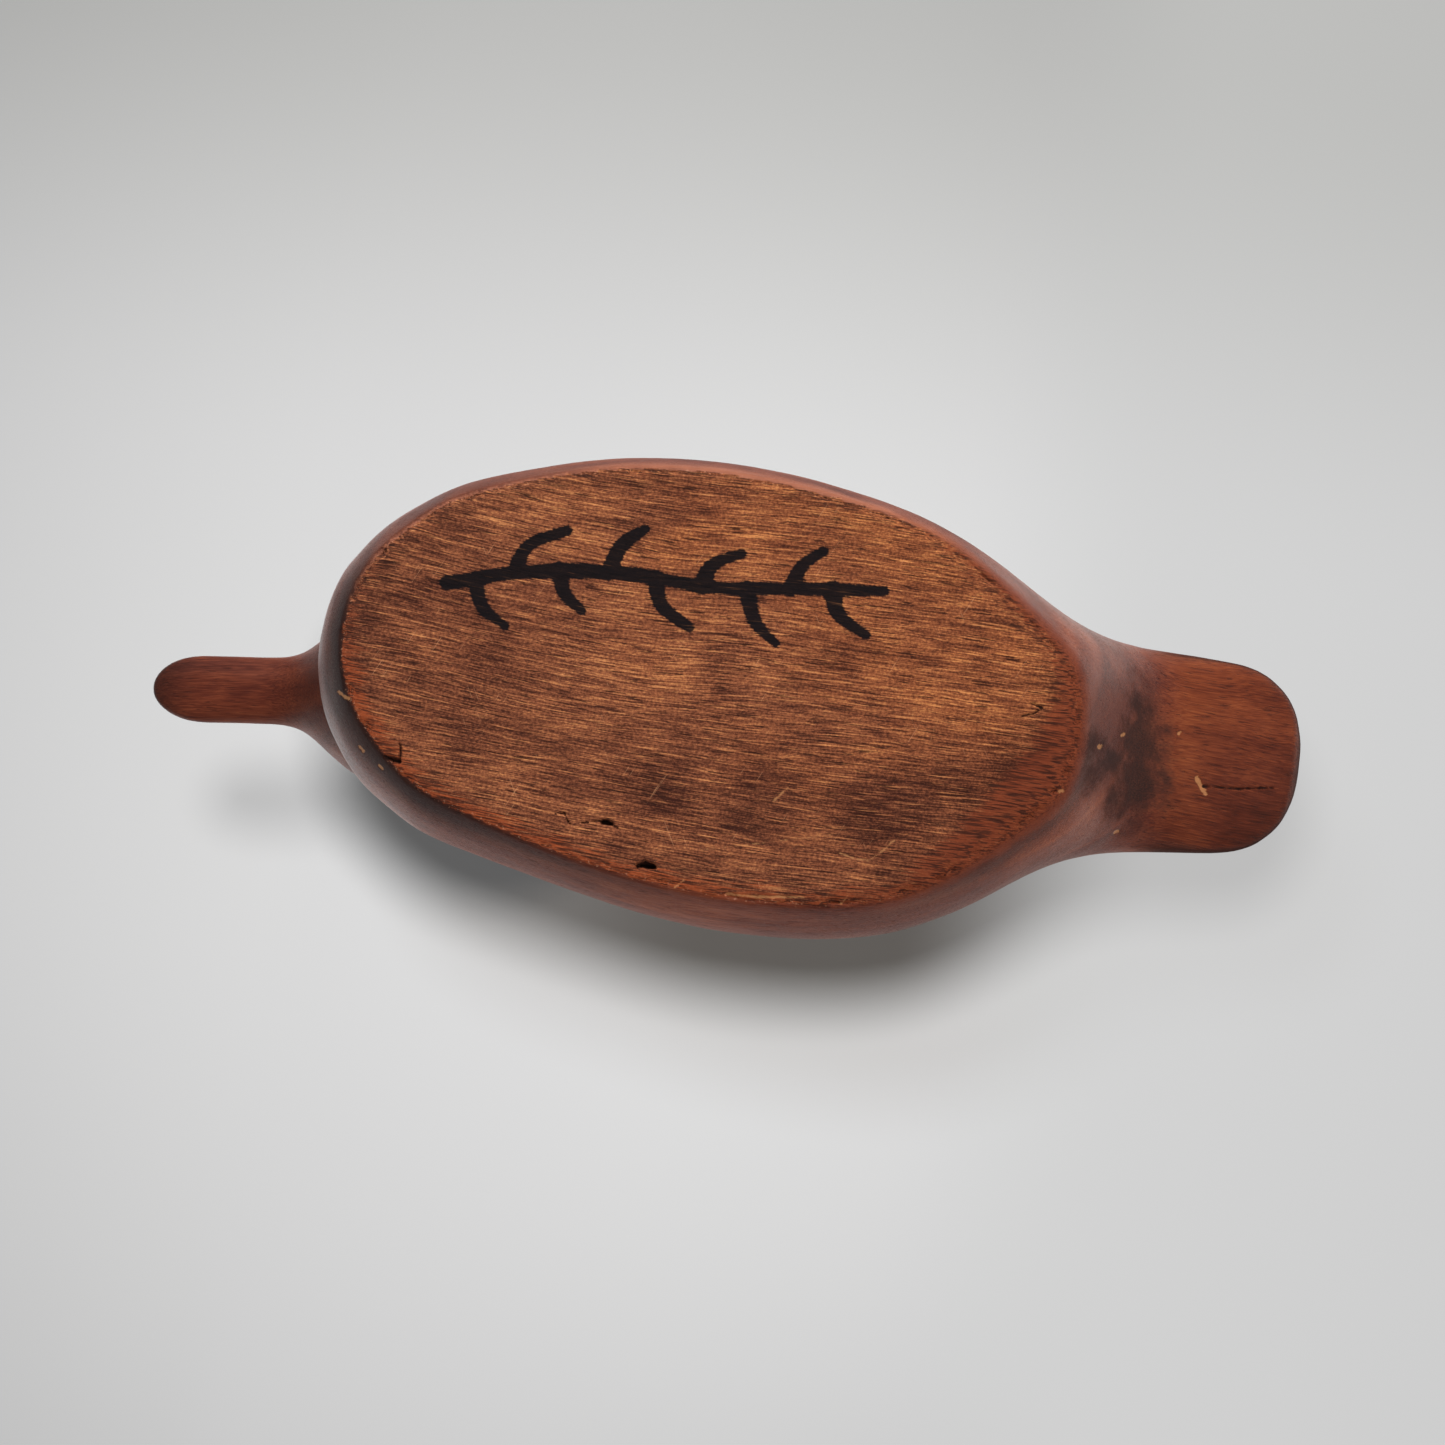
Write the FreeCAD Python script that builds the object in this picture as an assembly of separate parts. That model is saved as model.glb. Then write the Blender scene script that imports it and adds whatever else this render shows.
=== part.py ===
"""Carved wooden duck figure with a flat base: body, head on a neck dowel, and two bead eyes on pins.

Millimetres. +Z up, the bill points along -Y, and the origin is at the middle of the bounding box's bottom face.
Every carved block is a skin through cross-sections along Y, and a section is two half superellipses.
"""

import FreeCAD
import Part
import math
import os

# Whole figure
LENGTH = 168.6
BILL_TIP_Y = -84.0
TAIL_TIP_Y = BILL_TIP_Y + LENGTH

# Body: guide curves as (y, value) points, closed at both ends by rounded noses
BREAST_Y = -51.1
BREAST_Z = 16.0
BREAST_ROUNDING = 22.0
TAIL_END_Z = 31.4
TAIL_PLAN_ROUNDING = 13.0
TAIL_PLAN_POWER = 2.5
TAIL_EDGE_ROUNDING = 2.2
KEEL = [(-56, -9.4), (-40, -8.6), (-30, -11.0), (-18, -14.0), (4, -15.0), (18, -14.6), (28, -13.2),
        (36, -8.7), (42, -4.9), (48.5, 0.0), (52, 4.8), (56, 11.5), (61, 17.6), (66, 21.4), (75, 25.6), (86, 30.0)]
BACK = [(-56, 37.0), (-44, 39.6), (-30, 43.2), (-14, 45.6), (2, 46.0), (20, 44.4), (36, 40.8),
        (50, 36.8), (62, 34.1), (74, 33.0), (86, 33.4)]
WIDEST_Z = [(-56, 16.0), (-20, 15.0), (20, 15.0), (40, 17.5), (52, 22.6), (62, 26.0), (74, 28.8), (86, 31.6)]
HALF_WIDTH = [(-56, 22.4), (-44, 22.7), (-34, 24.0), (-22, 27.1), (-10, 29.6), (4, 30.8), (17, 29.9),
              (28, 27.5), (38, 23.0), (44, 19.4), (50, 16.4), (56, 14.8), (63, 14.1), (74, 13.5), (86, 12.8)]
# Hand-cut wander of the middle line, and the extra sideways shift at z = 0
MIDDLE_X = [(-56, 0.2), (-38, 0.4), (-22, 1.0), (0, 0.3), (28, -1.1), (45, -0.6), (60, 0.8), (86, 2.2)]
BASE_LEAN_X = [(-56, 1.5), (-30, 0.3), (-8, 0.1), (28, 0.3), (50, 0.2), (86, 0.0)]
BODY_POWER = [(-56, 2.0), (-20, 2.0), (20, 2.0), (40, 2.05), (60, 2.5), (86, 2.9)]

# Head and bill, before the head is turned on its dowel
CREST_Y = -22.0
CREST_Z = 63.0
CREST_ROUNDING = 15.0
BILL_END_Z = 54.6
BILL_PLAN_ROUNDING = 8.0
BILL_EDGE_ROUNDING = 5.0
CHIN = [(-86, 52.8), (-78, 52.6), (-70, 52.3), (-64, 51.6), (-60.5, 49.6), (-57, 46.2), (-53, 42.2),
        (-49, 37.0), (-45.5, 31.0), (-42, 28.4), (-36, 28.0), (-31, 28.4), (-26, 30.0), (-20, 33.0)]
CROWN = [(-86, 56.6), (-78, 58.2), (-70, 60.2), (-65.5, 62.6), (-62, 66.6), (-58, 71.4), (-52, 75.9),
         (-45, 78.2), (-38, 78.4), (-31, 77.6), (-20, 76.0)]
CHEEK_Z = [(-86, 54.8), (-70, 55.6), (-64, 56.4), (-58, 58.4), (-50, 60.6), (-40, 62.0), (-30, 63.0),
           (-20, 63.0)]
HEAD_HALF_WIDTH = [(-86, 5.2), (-76, 5.2), (-67, 5.2), (-63, 5.6), (-60.6, 6.7), (-58, 8.9), (-54, 12.2),
                   (-49, 14.5), (-43, 15.5), (-37, 15.4), (-30, 14.2), (-20, 12.0)]
HEAD_POWER = [(-86, 2.6), (-66, 2.4), (-60, 2.1), (-54, 2.0), (-20, 2.0)]

# Neck joint: a flat seat that rises towards the tail, with a dowel square to it
SEAT_FRONT = (-47.0, 39.5)
SEAT_REAR = (-27.0, 47.0)
SEAT_END_Y = -12.0
HEAD_TURN_DEG = -6.2
HEAD_SHIFT_X = -0.7
DOWEL_RADIUS = 4.0
DOWEL_LENGTH = 27.0
DOWEL_CHAMFER = 0.8
DOWEL_HOLE_GAP = 0.5
DOWEL_CLEARANCE = 0.05

# Eyes
EYE_Y = -51.5
EYE_Z = 66.8
EYE_RADIUS = 2.3
EYE_SUNK = 1.0
PIN_RADIUS = 0.4
PIN_LENGTH = 8.0
PIN_IN_BEAD = 0.5

# Blends
BASE_EDGE_RADIUS = 0.6
NECK_BLEND_RADIUS = 5.0

# How the skins are made
POINTS_ROUND = 28
BODY_RING_STEP = 6.5
HEAD_RING_STEP = 3.0
ROUND_END_SHARE = 0.6  # part of a wide rounding that gets closely spaced rings
SEAM_AT_SIDE = 0.0  # the skin's seam stays clear of every cut
SEAM_AT_TOP = math.pi / 2
TESSELLATION = 0.02
NEAR_BASE = 0.1
BIG = 300.0


def guide(points):
    """A smooth function of y through a few (y, value) points, evaluated on a natural cubic spline."""
    ys = [p[0] for p in points]
    vs = [p[1] for p in points]
    n = len(points)
    bend = [0.0] * n
    upper = [0.0] * n
    for i in range(1, n - 1):
        before, after = ys[i] - ys[i - 1], ys[i + 1] - ys[i]
        slope_change = (vs[i + 1] - vs[i]) / after - (vs[i] - vs[i - 1]) / before
        pivot = 2 * (before + after) - before * upper[i - 1]
        upper[i] = after / pivot
        bend[i] = (6 * slope_change - before * bend[i - 1]) / pivot
    for i in range(n - 2, 0, -1):
        bend[i] -= upper[i] * bend[i + 1]

    def value(y):
        i = 0
        while i < n - 2 and y > ys[i + 1]:
            i += 1
        step = ys[i + 1] - ys[i]
        a, b = (ys[i + 1] - y) / step, (y - ys[i]) / step
        cubic = ((a**3 - a) * bend[i] + (b**3 - b) * bend[i + 1]) * step**2 / 6
        return a * vs[i] + b * vs[i + 1] + cubic

    return value


def rounding(distance, length, power=2.0):
    """Share of full size at a distance from a rounded end: 0 at the tip, 1 from length onwards."""
    share = min(max(distance / length, 0.0), 1.0)
    return (1 - (1 - share) ** power) ** (1 / power)


def section(y, half_width, z_low, z_wide, z_high, power, centre_x, seam_angle, lean=0.0):
    """Closed curve across the block at y: two half superellipses that meet at the widest height.

    Below that height the curve leans sideways, by the lean at z = 0.
    """
    points = []
    for k in range(POINTS_ROUND):
        angle = seam_angle + 2 * math.pi * k / POINTS_ROUND
        c, s = math.cos(angle), math.sin(angle)
        x = half_width * math.copysign(abs(c) ** (2 / power), c)
        reach = z_high - z_wide if s > 0 else z_wide - z_low
        z = z_wide + reach * math.copysign(abs(s) ** (2 / power), s)
        x += lean * max(0.0, 1 - z / z_wide)
        points.append(FreeCAD.Vector(centre_x + x, y, z))
    curve = Part.BSplineCurve()
    shared_parameters = [k / POINTS_ROUND for k in range(POINTS_ROUND + 1)]
    curve.interpolate(Points=points, PeriodicFlag=True, Parameters=shared_parameters)
    return Part.Wire(curve.toShape())


def stations(first, last, first_cluster, last_cluster, middle_step):
    """Positions along Y, close together near both rounded ends."""
    near = [0.003, 0.03, 0.12, 0.26, 0.45, 0.7, 1.0]
    front = [first + first_cluster * share for share in near]
    rear = [last - last_cluster * share for share in near]
    count = max(2, round((rear[-1] - front[-1]) / middle_step))
    middle = [front[-1] + (rear[-1] - front[-1]) * k / count for k in range(1, count)]
    return front + middle + rear[::-1]


def body_block():
    """The whole body skin, still with its round keel below the base plane."""
    keel, back, widest = guide(KEEL), guide(BACK), guide(WIDEST_Z)
    width, power, middle_x, lean = guide(HALF_WIDTH), guide(BODY_POWER), guide(MIDDLE_X), guide(BASE_LEAN_X)
    rings = []
    for y in stations(BREAST_Y, TAIL_TIP_Y, BREAST_ROUNDING * ROUND_END_SHARE, TAIL_PLAN_ROUNDING,
                      BODY_RING_STEP):
        nose = rounding(y - BREAST_Y, BREAST_ROUNDING)
        plan = rounding(TAIL_TIP_Y - y, TAIL_PLAN_ROUNDING, TAIL_PLAN_POWER)
        edge = rounding(TAIL_TIP_Y - y, TAIL_EDGE_ROUNDING)

        def height(z):
            z = BREAST_Z + (z - BREAST_Z) * nose
            return TAIL_END_Z + (z - TAIL_END_Z) * edge

        rings.append(section(y, width(y) * nose * plan, height(keel(y)), height(widest(y)), height(back(y)),
                             power(y), middle_x(y), SEAM_AT_SIDE, lean(y)))
    return Part.makeLoft(rings, True, False)


def head_sizes(y):
    """(half width, lowest, widest and highest z, power) of the unturned head at y."""
    crest = rounding(CREST_Y - y, CREST_ROUNDING)
    tip = rounding(y - BILL_TIP_Y, BILL_PLAN_ROUNDING)
    edge = rounding(y - BILL_TIP_Y, BILL_EDGE_ROUNDING)

    def height(z):
        z = CREST_Z + (z - CREST_Z) * crest
        return BILL_END_Z + (z - BILL_END_Z) * edge

    return (guide(HEAD_HALF_WIDTH)(y) * crest * tip, height(guide(CHIN)(y)), height(guide(CHEEK_Z)(y)),
            height(guide(CROWN)(y)), guide(HEAD_POWER)(y))


def head_block():
    """Bill, head and neck as one skin, which runs down into the body."""
    rings = []
    for y in stations(BILL_TIP_Y, CREST_Y, BILL_PLAN_ROUNDING, CREST_ROUNDING * ROUND_END_SHARE,
                      HEAD_RING_STEP):
        half_width, low, wide, high, power = head_sizes(y)
        rings.append(section(y, half_width, low, wide, high, power, 0.0, SEAM_AT_TOP))
    return Part.makeLoft(rings, True, False)


def seat_middle():
    return FreeCAD.Vector(HEAD_SHIFT_X, (SEAT_FRONT[0] + SEAT_REAR[0]) / 2, (SEAT_FRONT[1] + SEAT_REAR[1]) / 2)


def seat_normal():
    rise = math.atan2(SEAT_REAR[1] - SEAT_FRONT[1], SEAT_REAR[0] - SEAT_FRONT[0])
    return FreeCAD.Vector(0, -math.sin(rise), math.cos(rise))


def turned(shape):
    """Moves a shape of the unturned head to where the head sits on its dowel."""
    shape = shape.copy()
    shape.translate(FreeCAD.Vector(HEAD_SHIFT_X, 0, 0))
    shape.rotate(seat_middle(), seat_normal(), HEAD_TURN_DEG)
    return shape


def above_seat():
    """A box whose bottom face is the seat plane."""
    box = Part.makeBox(BIG, BIG, BIG, FreeCAD.Vector(-BIG / 2, -BIG / 2, 0))
    box.Placement = FreeCAD.Placement(seat_middle(), FreeCAD.Rotation(FreeCAD.Vector(0, 0, 1), seat_normal()))
    return box


def neck_line(duck):
    """The crease where the head's skin runs into the body's."""
    return [e for e in duck.Edges
            if e.BoundBox.ZMin > BREAST_Z and e.BoundBox.ZMax < BILL_END_Z + BILL_EDGE_ROUNDING
            and e.BoundBox.YMin > BREAST_Y and e.BoundBox.YMax < SEAT_END_Y]


def dowel(extra_radius=0.0, extra_length=0.0):
    length = DOWEL_LENGTH + 2 * extra_length
    start = seat_middle() - seat_normal() * (length / 2)
    return Part.makeCylinder(DOWEL_RADIUS + extra_radius, length, start, seat_normal())


def eye_parts(side):
    """Bead and pin of one eye on the unturned head; side is +1 for the left."""
    half_width, low, wide, high, power = head_sizes(EYE_Y)
    share = (EYE_Z - wide) / (high - wide)
    surface_x = half_width * (1 - share**power) ** (1 / power)
    centre = FreeCAD.Vector(side * (surface_x - EYE_SUNK), EYE_Y, EYE_Z)
    inward = FreeCAD.Vector(-side, 0, 0)
    bead = Part.makeSphere(EYE_RADIUS, centre)
    pin = Part.makeCylinder(PIN_RADIUS, PIN_LENGTH, centre + inward * (EYE_RADIUS - PIN_IN_BEAD), inward)
    return bead, pin.cut(bead)


def measured_box(shapes):
    """Tight bounding box, taken from a fine mesh because a trimmed skin's own box is loose."""
    box = FreeCAD.BoundBox()
    for shape in shapes:
        for point in shape.tessellate(TESSELLATION)[0]:
            box.add(point)
    return box


def save(name, shape, shift):
    shape = shape.copy()
    shape.translate(shift)
    solids = shape.Solids
    shape = solids[0] if len(solids) == 1 else Part.makeCompound(solids)
    shape.exportStep("parts/" + name + ".step")
    box = measured_box([shape])
    print(name, "solids", len(solids), "valid", shape.isValid(), "volume %.0f" % shape.Volume,
          "x %.2f %.2f y %.2f %.2f z %.2f %.2f" % (box.XMin, box.XMax, box.YMin, box.YMax, box.ZMin, box.ZMax))


def main():
    os.makedirs("parts", exist_ok=True)
    below_base = Part.makeBox(BIG, BIG, BIG, FreeCAD.Vector(-BIG / 2, -BIG / 2, -BIG))
    body = body_block().cut(below_base)
    body = body.makeFillet(BASE_EDGE_RADIUS, [e for e in body.Edges if e.BoundBox.ZMax < NEAR_BASE])
    duck = body.fuse(turned(head_block()))
    duck = duck.makeFillet(NECK_BLEND_RADIUS, neck_line(duck))
    behind_head = Part.makeBox(BIG, BIG, BIG, FreeCAD.Vector(-BIG / 2, SEAT_END_Y, -BIG / 2))
    upper = above_seat().cut(behind_head)
    head_piece, body_piece = duck.common(upper), duck.cut(upper)

    hole = dowel(DOWEL_CLEARANCE, DOWEL_HOLE_GAP)
    peg = dowel()
    rims = [e for e in peg.Edges if isinstance(e.Curve, Part.Circle)]
    peg = peg.makeChamfer(DOWEL_CHAMFER, rims)
    body_piece, head_piece = body_piece.cut(hole), head_piece.cut(hole)

    pieces = {}
    for side, name in ((1, "left"), (-1, "right")):
        bead, pin = (turned(part) for part in eye_parts(side))
        head_piece = head_piece.cut(bead).cut(pin)
        pieces["eye_" + name] = bead
        pieces["eye_pin_" + name] = pin
    pieces.update(body=body_piece, head=head_piece, neck_dowel=peg)

    whole = measured_box(pieces.values())
    shift = FreeCAD.Vector(-whole.Center.x, -whole.Center.y, -whole.ZMin)
    print("shift to the origin", shift)
    for name, shape in pieces.items():
        save(name, shape, shift)


main()
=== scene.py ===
"""Blender scene of the carved wooden duck: fine meshes with real relief, wood, stage, lights and camera."""

import math

import bmesh
import bpy
import numpy as np
from mathutils import Matrix, Vector, noise
from mathutils.kdtree import KDTree


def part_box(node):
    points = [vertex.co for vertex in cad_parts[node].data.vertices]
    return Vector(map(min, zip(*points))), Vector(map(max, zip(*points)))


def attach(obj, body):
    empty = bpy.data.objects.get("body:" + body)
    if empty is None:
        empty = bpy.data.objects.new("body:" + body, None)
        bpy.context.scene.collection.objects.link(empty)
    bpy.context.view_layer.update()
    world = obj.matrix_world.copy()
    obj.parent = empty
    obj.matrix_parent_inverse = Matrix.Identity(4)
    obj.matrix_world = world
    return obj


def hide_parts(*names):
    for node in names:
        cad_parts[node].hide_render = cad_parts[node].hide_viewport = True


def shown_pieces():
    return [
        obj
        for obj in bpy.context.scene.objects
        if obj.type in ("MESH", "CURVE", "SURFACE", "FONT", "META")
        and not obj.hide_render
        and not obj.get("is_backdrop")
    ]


MM = 0.001
BODY_CELL = 0.5
HEAD_CELL = 0.42

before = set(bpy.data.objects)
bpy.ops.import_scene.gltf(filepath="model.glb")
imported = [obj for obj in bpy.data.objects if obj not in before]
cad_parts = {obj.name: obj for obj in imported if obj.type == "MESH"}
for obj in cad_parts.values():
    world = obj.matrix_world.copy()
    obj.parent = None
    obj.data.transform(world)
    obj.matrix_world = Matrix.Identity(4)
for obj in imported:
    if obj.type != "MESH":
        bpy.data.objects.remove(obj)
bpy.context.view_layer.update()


# ---------------------------------------------------------------- shape helpers

def fine_copy(node, name, cell_mm):
    """An even, dense copy of a CAD node's surface, smoothed and drawn back onto that surface."""
    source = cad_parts[node]
    piece = bpy.data.objects.new(name, source.data.copy())
    bpy.context.scene.collection.objects.link(piece)
    remesh = piece.modifiers.new("even", "REMESH")
    remesh.mode = "VOXEL"
    remesh.voxel_size = cell_mm * MM
    smooth = piece.modifiers.new("relax", "SMOOTH")
    smooth.factor = 0.5
    smooth.iterations = 4
    wrap = piece.modifiers.new("onto", "SHRINKWRAP")
    wrap.target = source
    wrap.wrap_method = "NEAREST_SURFACEPOINT"
    graph = bpy.context.evaluated_depsgraph_get()
    graph.update()
    mesh = bpy.data.meshes.new_from_object(piece.evaluated_get(graph), depsgraph=graph)
    mesh.name = name
    piece.modifiers.clear()
    piece.data = mesh
    mesh.polygons.foreach_set("use_smooth", [True] * len(mesh.polygons))
    return piece


def refine(piece, near, cuts):
    """Splits the faces whose middle passes the near test, so that thin marks have points to follow."""
    work = bmesh.new()
    work.from_mesh(piece.data)
    middles = np.array([f.calc_center_median() for f in work.faces]) / MM
    chosen = near(middles)
    edges = {e for f, keep in zip(work.faces, chosen) if keep for e in f.edges}
    bmesh.ops.subdivide_edges(work, edges=list(edges), cuts=cuts, use_grid_fill=True)
    bmesh.ops.triangulate(work, faces=[f for f in work.faces if len(f.verts) > 4])
    work.to_mesh(piece.data)
    work.free()
    piece.data.polygons.foreach_set("use_smooth", [True] * len(piece.data.polygons))


def points_of(piece):
    """Vertex positions in millimetres and unit normals, as arrays."""
    mesh = piece.data
    places = np.empty(len(mesh.vertices) * 3, np.float32)
    normals = np.empty(len(mesh.vertices) * 3, np.float32)
    mesh.vertices.foreach_get("co", places)
    mesh.vertex_normals.foreach_get("vector", normals)
    return places.reshape(-1, 3).astype(float) / MM, normals.reshape(-1, 3).astype(float)


def move_points(piece, places_mm):
    """Puts the vertices at new places, given in millimetres."""
    piece.data.vertices.foreach_set("co", (places_mm * MM).astype(np.float32).ravel())
    piece.data.update()


def keep_value(piece, name, values):
    """Stores one number per vertex for the materials to read."""
    piece.data.attributes.new(name, "FLOAT", "POINT").data.foreach_set("value", values.astype(np.float32))


def lumps(places, size, seed):
    """Smooth noise from about -1 to 1, with lumps of that size in millimetres along x, y and z."""
    shift = np.array((3.1, 7.7, 5.3)) * seed
    return np.array([noise.noise(Vector(p)) for p in places / np.array(size) + shift])


def smooth_line(points, steps=8):
    """More points along a soft curve through the given ones."""
    pts = [np.array(p, float) for p in points]
    pts = [2 * pts[0] - pts[1]] + pts + [2 * pts[-1] - pts[-2]]
    line = []
    for a, b, c, d in zip(pts, pts[1:], pts[2:], pts[3:]):
        for t in np.arange(steps) / steps:
            square = a - 2.5 * b + 2 * c - d / 2
            cube = 1.5 * (b - c) + (d - a) / 2
            line.append(b + t * (c - a) / 2 + t * t * square + t**3 * cube)
    return line + [pts[-2]]


def distance_to(places, line):
    """Millimetres in plan from each point to a line of (x, y) points."""
    flat = places[:, :2]
    best = np.full(len(flat), 99.0)
    for start, end in zip(line, line[1:]):
        a, b = np.array(start, float), np.array(end, float)
        along = np.clip((flat - a) @ (b - a) / max((b - a) @ (b - a), 1e-9), 0, 1)
        best = np.minimum(best, np.linalg.norm(flat - a - along[:, None] * (b - a), axis=1))
    return best


def nearest(places, targets):
    """Distance from each point to the nearest target."""
    tree = KDTree(len(targets))
    for i, p in enumerate(targets):
        tree.insert(p, i)
    tree.balance()
    return np.array([tree.find(p)[2] for p in places])


def step(value, low, high):
    """0 below low, 1 above high, eased between."""
    t = np.clip((value - low) / (high - low), 0, 1)
    return t * t * (3 - 2 * t)


# ---------------------------------------------------------------- marks, in millimetres in plan

# (line, half width, depth) of each crack and pit
CRACKS = [
    ([(-18.7, -16.1), (-18.5, -15.0), (-19.8, -14.3), (-19.5, -12.8), (-19.1, -11.5), (-18.7, -9.5)],
     0.06, 0.4),
    ([(-18.7, -9.5), (-19.3, -8.8), (-19.7, -7.8)], 0.07, 0.35),
    ([(-19.0, -10.0), (-19.1, -9.0)], 0.26, 0.9),
    ([(-23.9, -5.1), (-23.4, -4.2), (-23.7, -3.1)], 0.32, 0.8),
    ([(-23.9, -4.6), (-23.9, -3.2)], 0.25, 0.8),
    ([(2.5, 41.5), (2.1, 43.1), (1.2, 42.0), (0.7, 40.6)], 0.1, 0.25),
    ([(-12.4, -36.7), (-13.4, -36.5), (-14.6, -36.4)], 0.12, 0.4),
    ([(-14.4, -38.3), (-14.6, -36.6)], 0.3, 0.7),
    ([(-3.1, 69.5), (-2.6, 75.0), (-1.7, 80.1)], 0.12, 0.3),
    ([(-1.4, 64.9), (-1.7, 67.5)], 0.03, 0.15),
]
# (line, half width) of each pale scratch or chip
SCUFFS = [
    ([(-13.8, 10.8), (-11.9, 12.4)], 0.12),
    ([(-19.2, 19.9), (-19.7, 22.0), (-19.6, 23.7), (-18.1, 25.3), (-16.7, 26.5)], 0.1),
    ([(-21.0, 2.4), (-19.4, 9.0), (-17.1, 18.4)], 0.05),
    ([(-26.0, 6.5), (-25.9, 10.5), (-25.2, 16.0)], 0.16),
    ([(-26.0, -0.1), (-25.0, 0.9)], 0.12),
    ([(-25.6, 20.8), (-24.3, 21.5)], 0.12),
    ([(-6.7, -45.8), (-7.6, -44.0)], 0.22),
    ([(-13.3, -42.3), (-13.8, -41.7)], 0.18),
    ([(-15.4, -39.4), (-15.7, -38.9)], 0.2),
    ([(-4.2, 25.7), (2.5, 28.1)], 0.03),
    ([(-6.0, 29.0), (3.0, 31.0)], 0.02),
    ([(-2.1, 68.3), (-3.2, 69.1), (-4.0, 69.9)], 0.34),
    ([(-1.4, 51.6), (-1.2, 52.0)], 0.28),
    ([(1.1, 55.5), (1.4, 56.0)], 0.22),
    ([(3.4, 64.8), (3.7, 65.1)], 0.2),
    ([(-8.2, 46.6), (-8.0, 47.0)], 0.2),
    ([(-11.4, 57.0), (-11.1, 57.4)], 0.2),
]
# (x, y, z, radius, strength) of dark patches in the stain
PATCHES = [
    (4.0, -45.0, 0, 8.0, 0.22),
    (-9.6, -28.2, 0, 4.0, 0.3), (-13.8, -2.9, 0, 3.6, 0.6), (-11.8, 10.2, 0, 4.5, 0.5),
    (4.5, 18.3, 0, 3.0, 0.35), (-13.3, 23.2, 0, 4.5, 0.6), (-16.6, 7.6, 0, 4.0, 0.4),
    (-6.5, 39.8, 0, 3.5, 0.5), (-9.0, 32.6, 0, 4.0, 0.45), (21.6, -5.5, 0, 3.5, 0.4),
    (-19.1, 27.4, 0, 3.5, 0.4), (0.2, -26.3, 0, 3.5, 0.25), (9.8, 57.6, 15, 3.2, 0.5),
    (5.4, 58.2, 16, 4.2, 0.8), (1.0, 58.6, 16, 5.4, 1.0), (-3.8, 59.4, 16, 5.4, 1.0),
    (-8.2, 60.2, 17, 4.0, 0.6), (-1.4, 50.2, 3, 3.6, 0.75), (-5.2, 51.6, 6, 3.8, 0.7),
    (-2.6, 54.8, 10, 4.4, 0.8), (-7.0, 56.4, 13, 4.8, 0.75), (-10.0, 60.5, 18, 4.4, 0.5),
    (-2.5, 63.0, 19, 3.2, 0.4), (4.4, 62.6, 19, 2.6, 0.4),
]
# Felt-tip sprig on the base, in millimetres: a stem with plain curved strokes to both sides
INK_HALF_WIDTH = 1.0
STROKE_REACH = 5.6
STROKE_SPACING = 4
STEM = [(8.6, -33.6), (11.2, -24.0), (12.6, -12.0), (12.2, 0.0), (13.4, 11.0), (14.4, 21.6)]


def sprig_distance(places):
    """Millimetres from each point to the ink's edge, negative inside; the strokes thin out to their ends."""
    stem = smooth_line(STEM)
    strokes = [(stem, 1.0, 0.75)]
    for count, k in enumerate(range(3, len(stem) - 2, STROKE_SPACING)):
        side = 1 if count % 2 else -1
        root = stem[k]
        reach = STROKE_REACH + 0.9 * math.sin(2.3 * count)
        bend = root + np.array((side * 0.60 * reach, 0.22 * reach))
        tip = root + np.array((side * reach, (0.80 + 0.15 * math.sin(1.7 * count)) * reach))
        strokes.append((smooth_line([root, bend, tip], 5), 1.1, 0.55))
    edge = np.full(len(places), 99.0)
    for line, thick, thin in strokes:
        for k, (a, b) in enumerate(zip(line, line[1:])):
            half_width = INK_HALF_WIDTH * (thick + (thin - thick) * k / len(line))
            edge = np.minimum(edge, distance_to(places, (a, b)) - half_width)
    return edge


# ---------------------------------------------------------------- body and head meshes

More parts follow.
